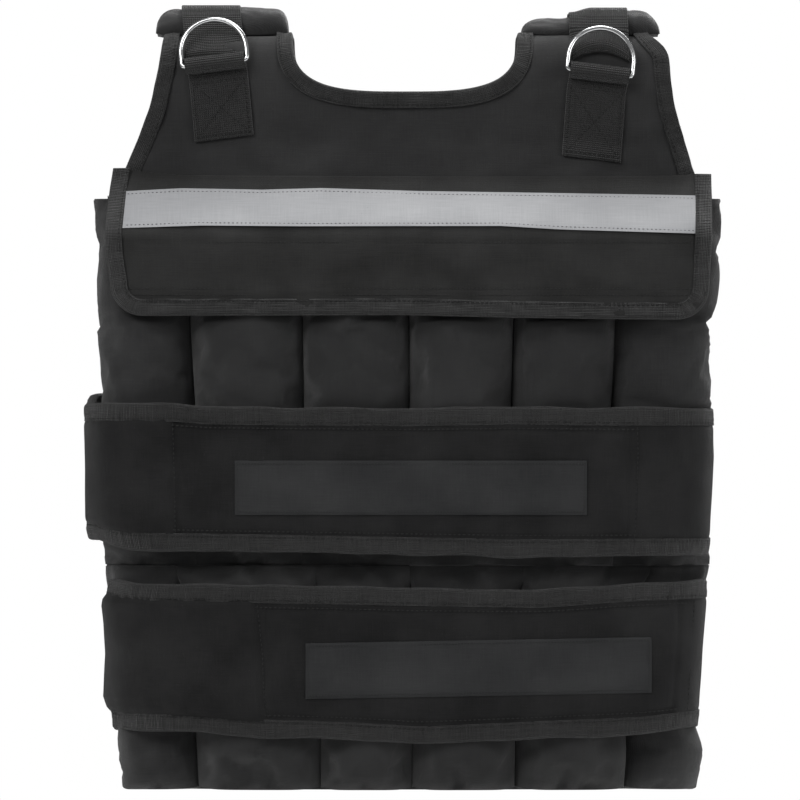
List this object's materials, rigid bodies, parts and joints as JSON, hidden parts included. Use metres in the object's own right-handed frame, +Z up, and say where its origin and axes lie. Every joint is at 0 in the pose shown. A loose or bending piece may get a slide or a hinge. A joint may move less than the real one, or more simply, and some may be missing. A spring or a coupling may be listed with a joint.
{
  "type": "weighted vest",
  "caption": "Black weighted training vest with columns of filled weight pockets, a reflective strip, closed padded waist belts and D-rings on webbing at the shoulders.",
  "frame": {"origin": "midway between the two shoulder straps, front to back and side to side, at the height of the underside of their crowns, where a wearer's shoulders carry the vest", "axes": "+Z up, the front of the vest faces -Y, +X to the right in the front view"},
  "size_m": [0.4312, 0.2662, 0.5304],
  "materials": {
    "shell_nylon": "matte woven nylon",
    "belt_nylon": "matte woven nylon over padding",
    "binding": "ribbed binding tape",
    "webbing": "coarse woven webbing",
    "reflective": "silver retro-reflective tape",
    "label": "smooth blank patch",
    "ring_steel": "bright plated wire"
  },
  "bodies": {
    "vest": {"front_panel": "shell_nylon", "back_panel": "shell_nylon", "front_neck_binding": "binding", "back_neck_binding": "binding", "front_armhole_binding_left": "binding", "front_armhole_binding_right": "binding", "back_armhole_binding_left": "binding", "back_armhole_binding_right": "binding", "front_upper_pocket_1": "shell_nylon", "front_upper_pocket_2": "shell_nylon", "front_upper_pocket_3": "shell_nylon", "front_upper_pocket_4": "shell_nylon", "front_upper_pocket_5": "shell_nylon", "front_upper_pocket_6": "shell_nylon", "front_lower_pocket_1": "shell_nylon", "front_lower_pocket_2": "shell_nylon", "front_lower_pocket_3": "shell_nylon", "front_lower_pocket_4": "shell_nylon", "front_lower_pocket_5": "shell_nylon", "front_lower_pocket_6": "shell_nylon", "back_upper_pocket_1": "shell_nylon", "back_upper_pocket_2": "shell_nylon", "back_upper_pocket_3": "shell_nylon", "back_upper_pocket_4": "shell_nylon", "back_upper_pocket_5": "shell_nylon", "back_upper_pocket_6": "shell_nylon", "back_lower_pocket_1": "shell_nylon", "back_lower_pocket_2": "shell_nylon", "back_lower_pocket_3": "shell_nylon", "back_lower_pocket_4": "shell_nylon", "back_lower_pocket_5": "shell_nylon", "back_lower_pocket_6": "shell_nylon", "front_flap": "shell_nylon", "back_flap": "shell_nylon", "front_flap_binding": "binding", "back_flap_binding": "binding", "reflective_tape": "reflective", "shoulder_pad_left": "shell_nylon", "shoulder_pad_right": "shell_nylon", "shoulder_webbing_left": "webbing", "shoulder_webbing_right": "webbing", "ring_keeper_left": "webbing", "ring_keeper_right": "webbing", "upper_belt": "belt_nylon", "lower_belt": "belt_nylon", "upper_belt_top_binding": "binding", "upper_belt_bottom_binding": "binding", "lower_belt_top_binding": "binding", "lower_belt_bottom_binding": "binding", "upper_label": "label", "lower_label": "label"},
    "left_ring": {"d_ring_left": "ring_steel"},
    "right_ring": {"d_ring_right": "ring_steel"}
  },
  "joints": [
    {"name": "d_ring_left_swing", "type": "hinge", "parent": "vest", "child": "left_ring", "pos_m": [-0.12999, -0.06826, -0.02142], "axis": [0.9914, -0.0536, 0.1193], "range_deg": [0, 175]},
    {"name": "d_ring_right_swing", "type": "hinge", "parent": "vest", "child": "right_ring", "pos_m": [0.13305, -0.06901, -0.02806], "axis": [0.9898, 0.0753, -0.1212], "range_deg": [0, 175]}
  ]
}
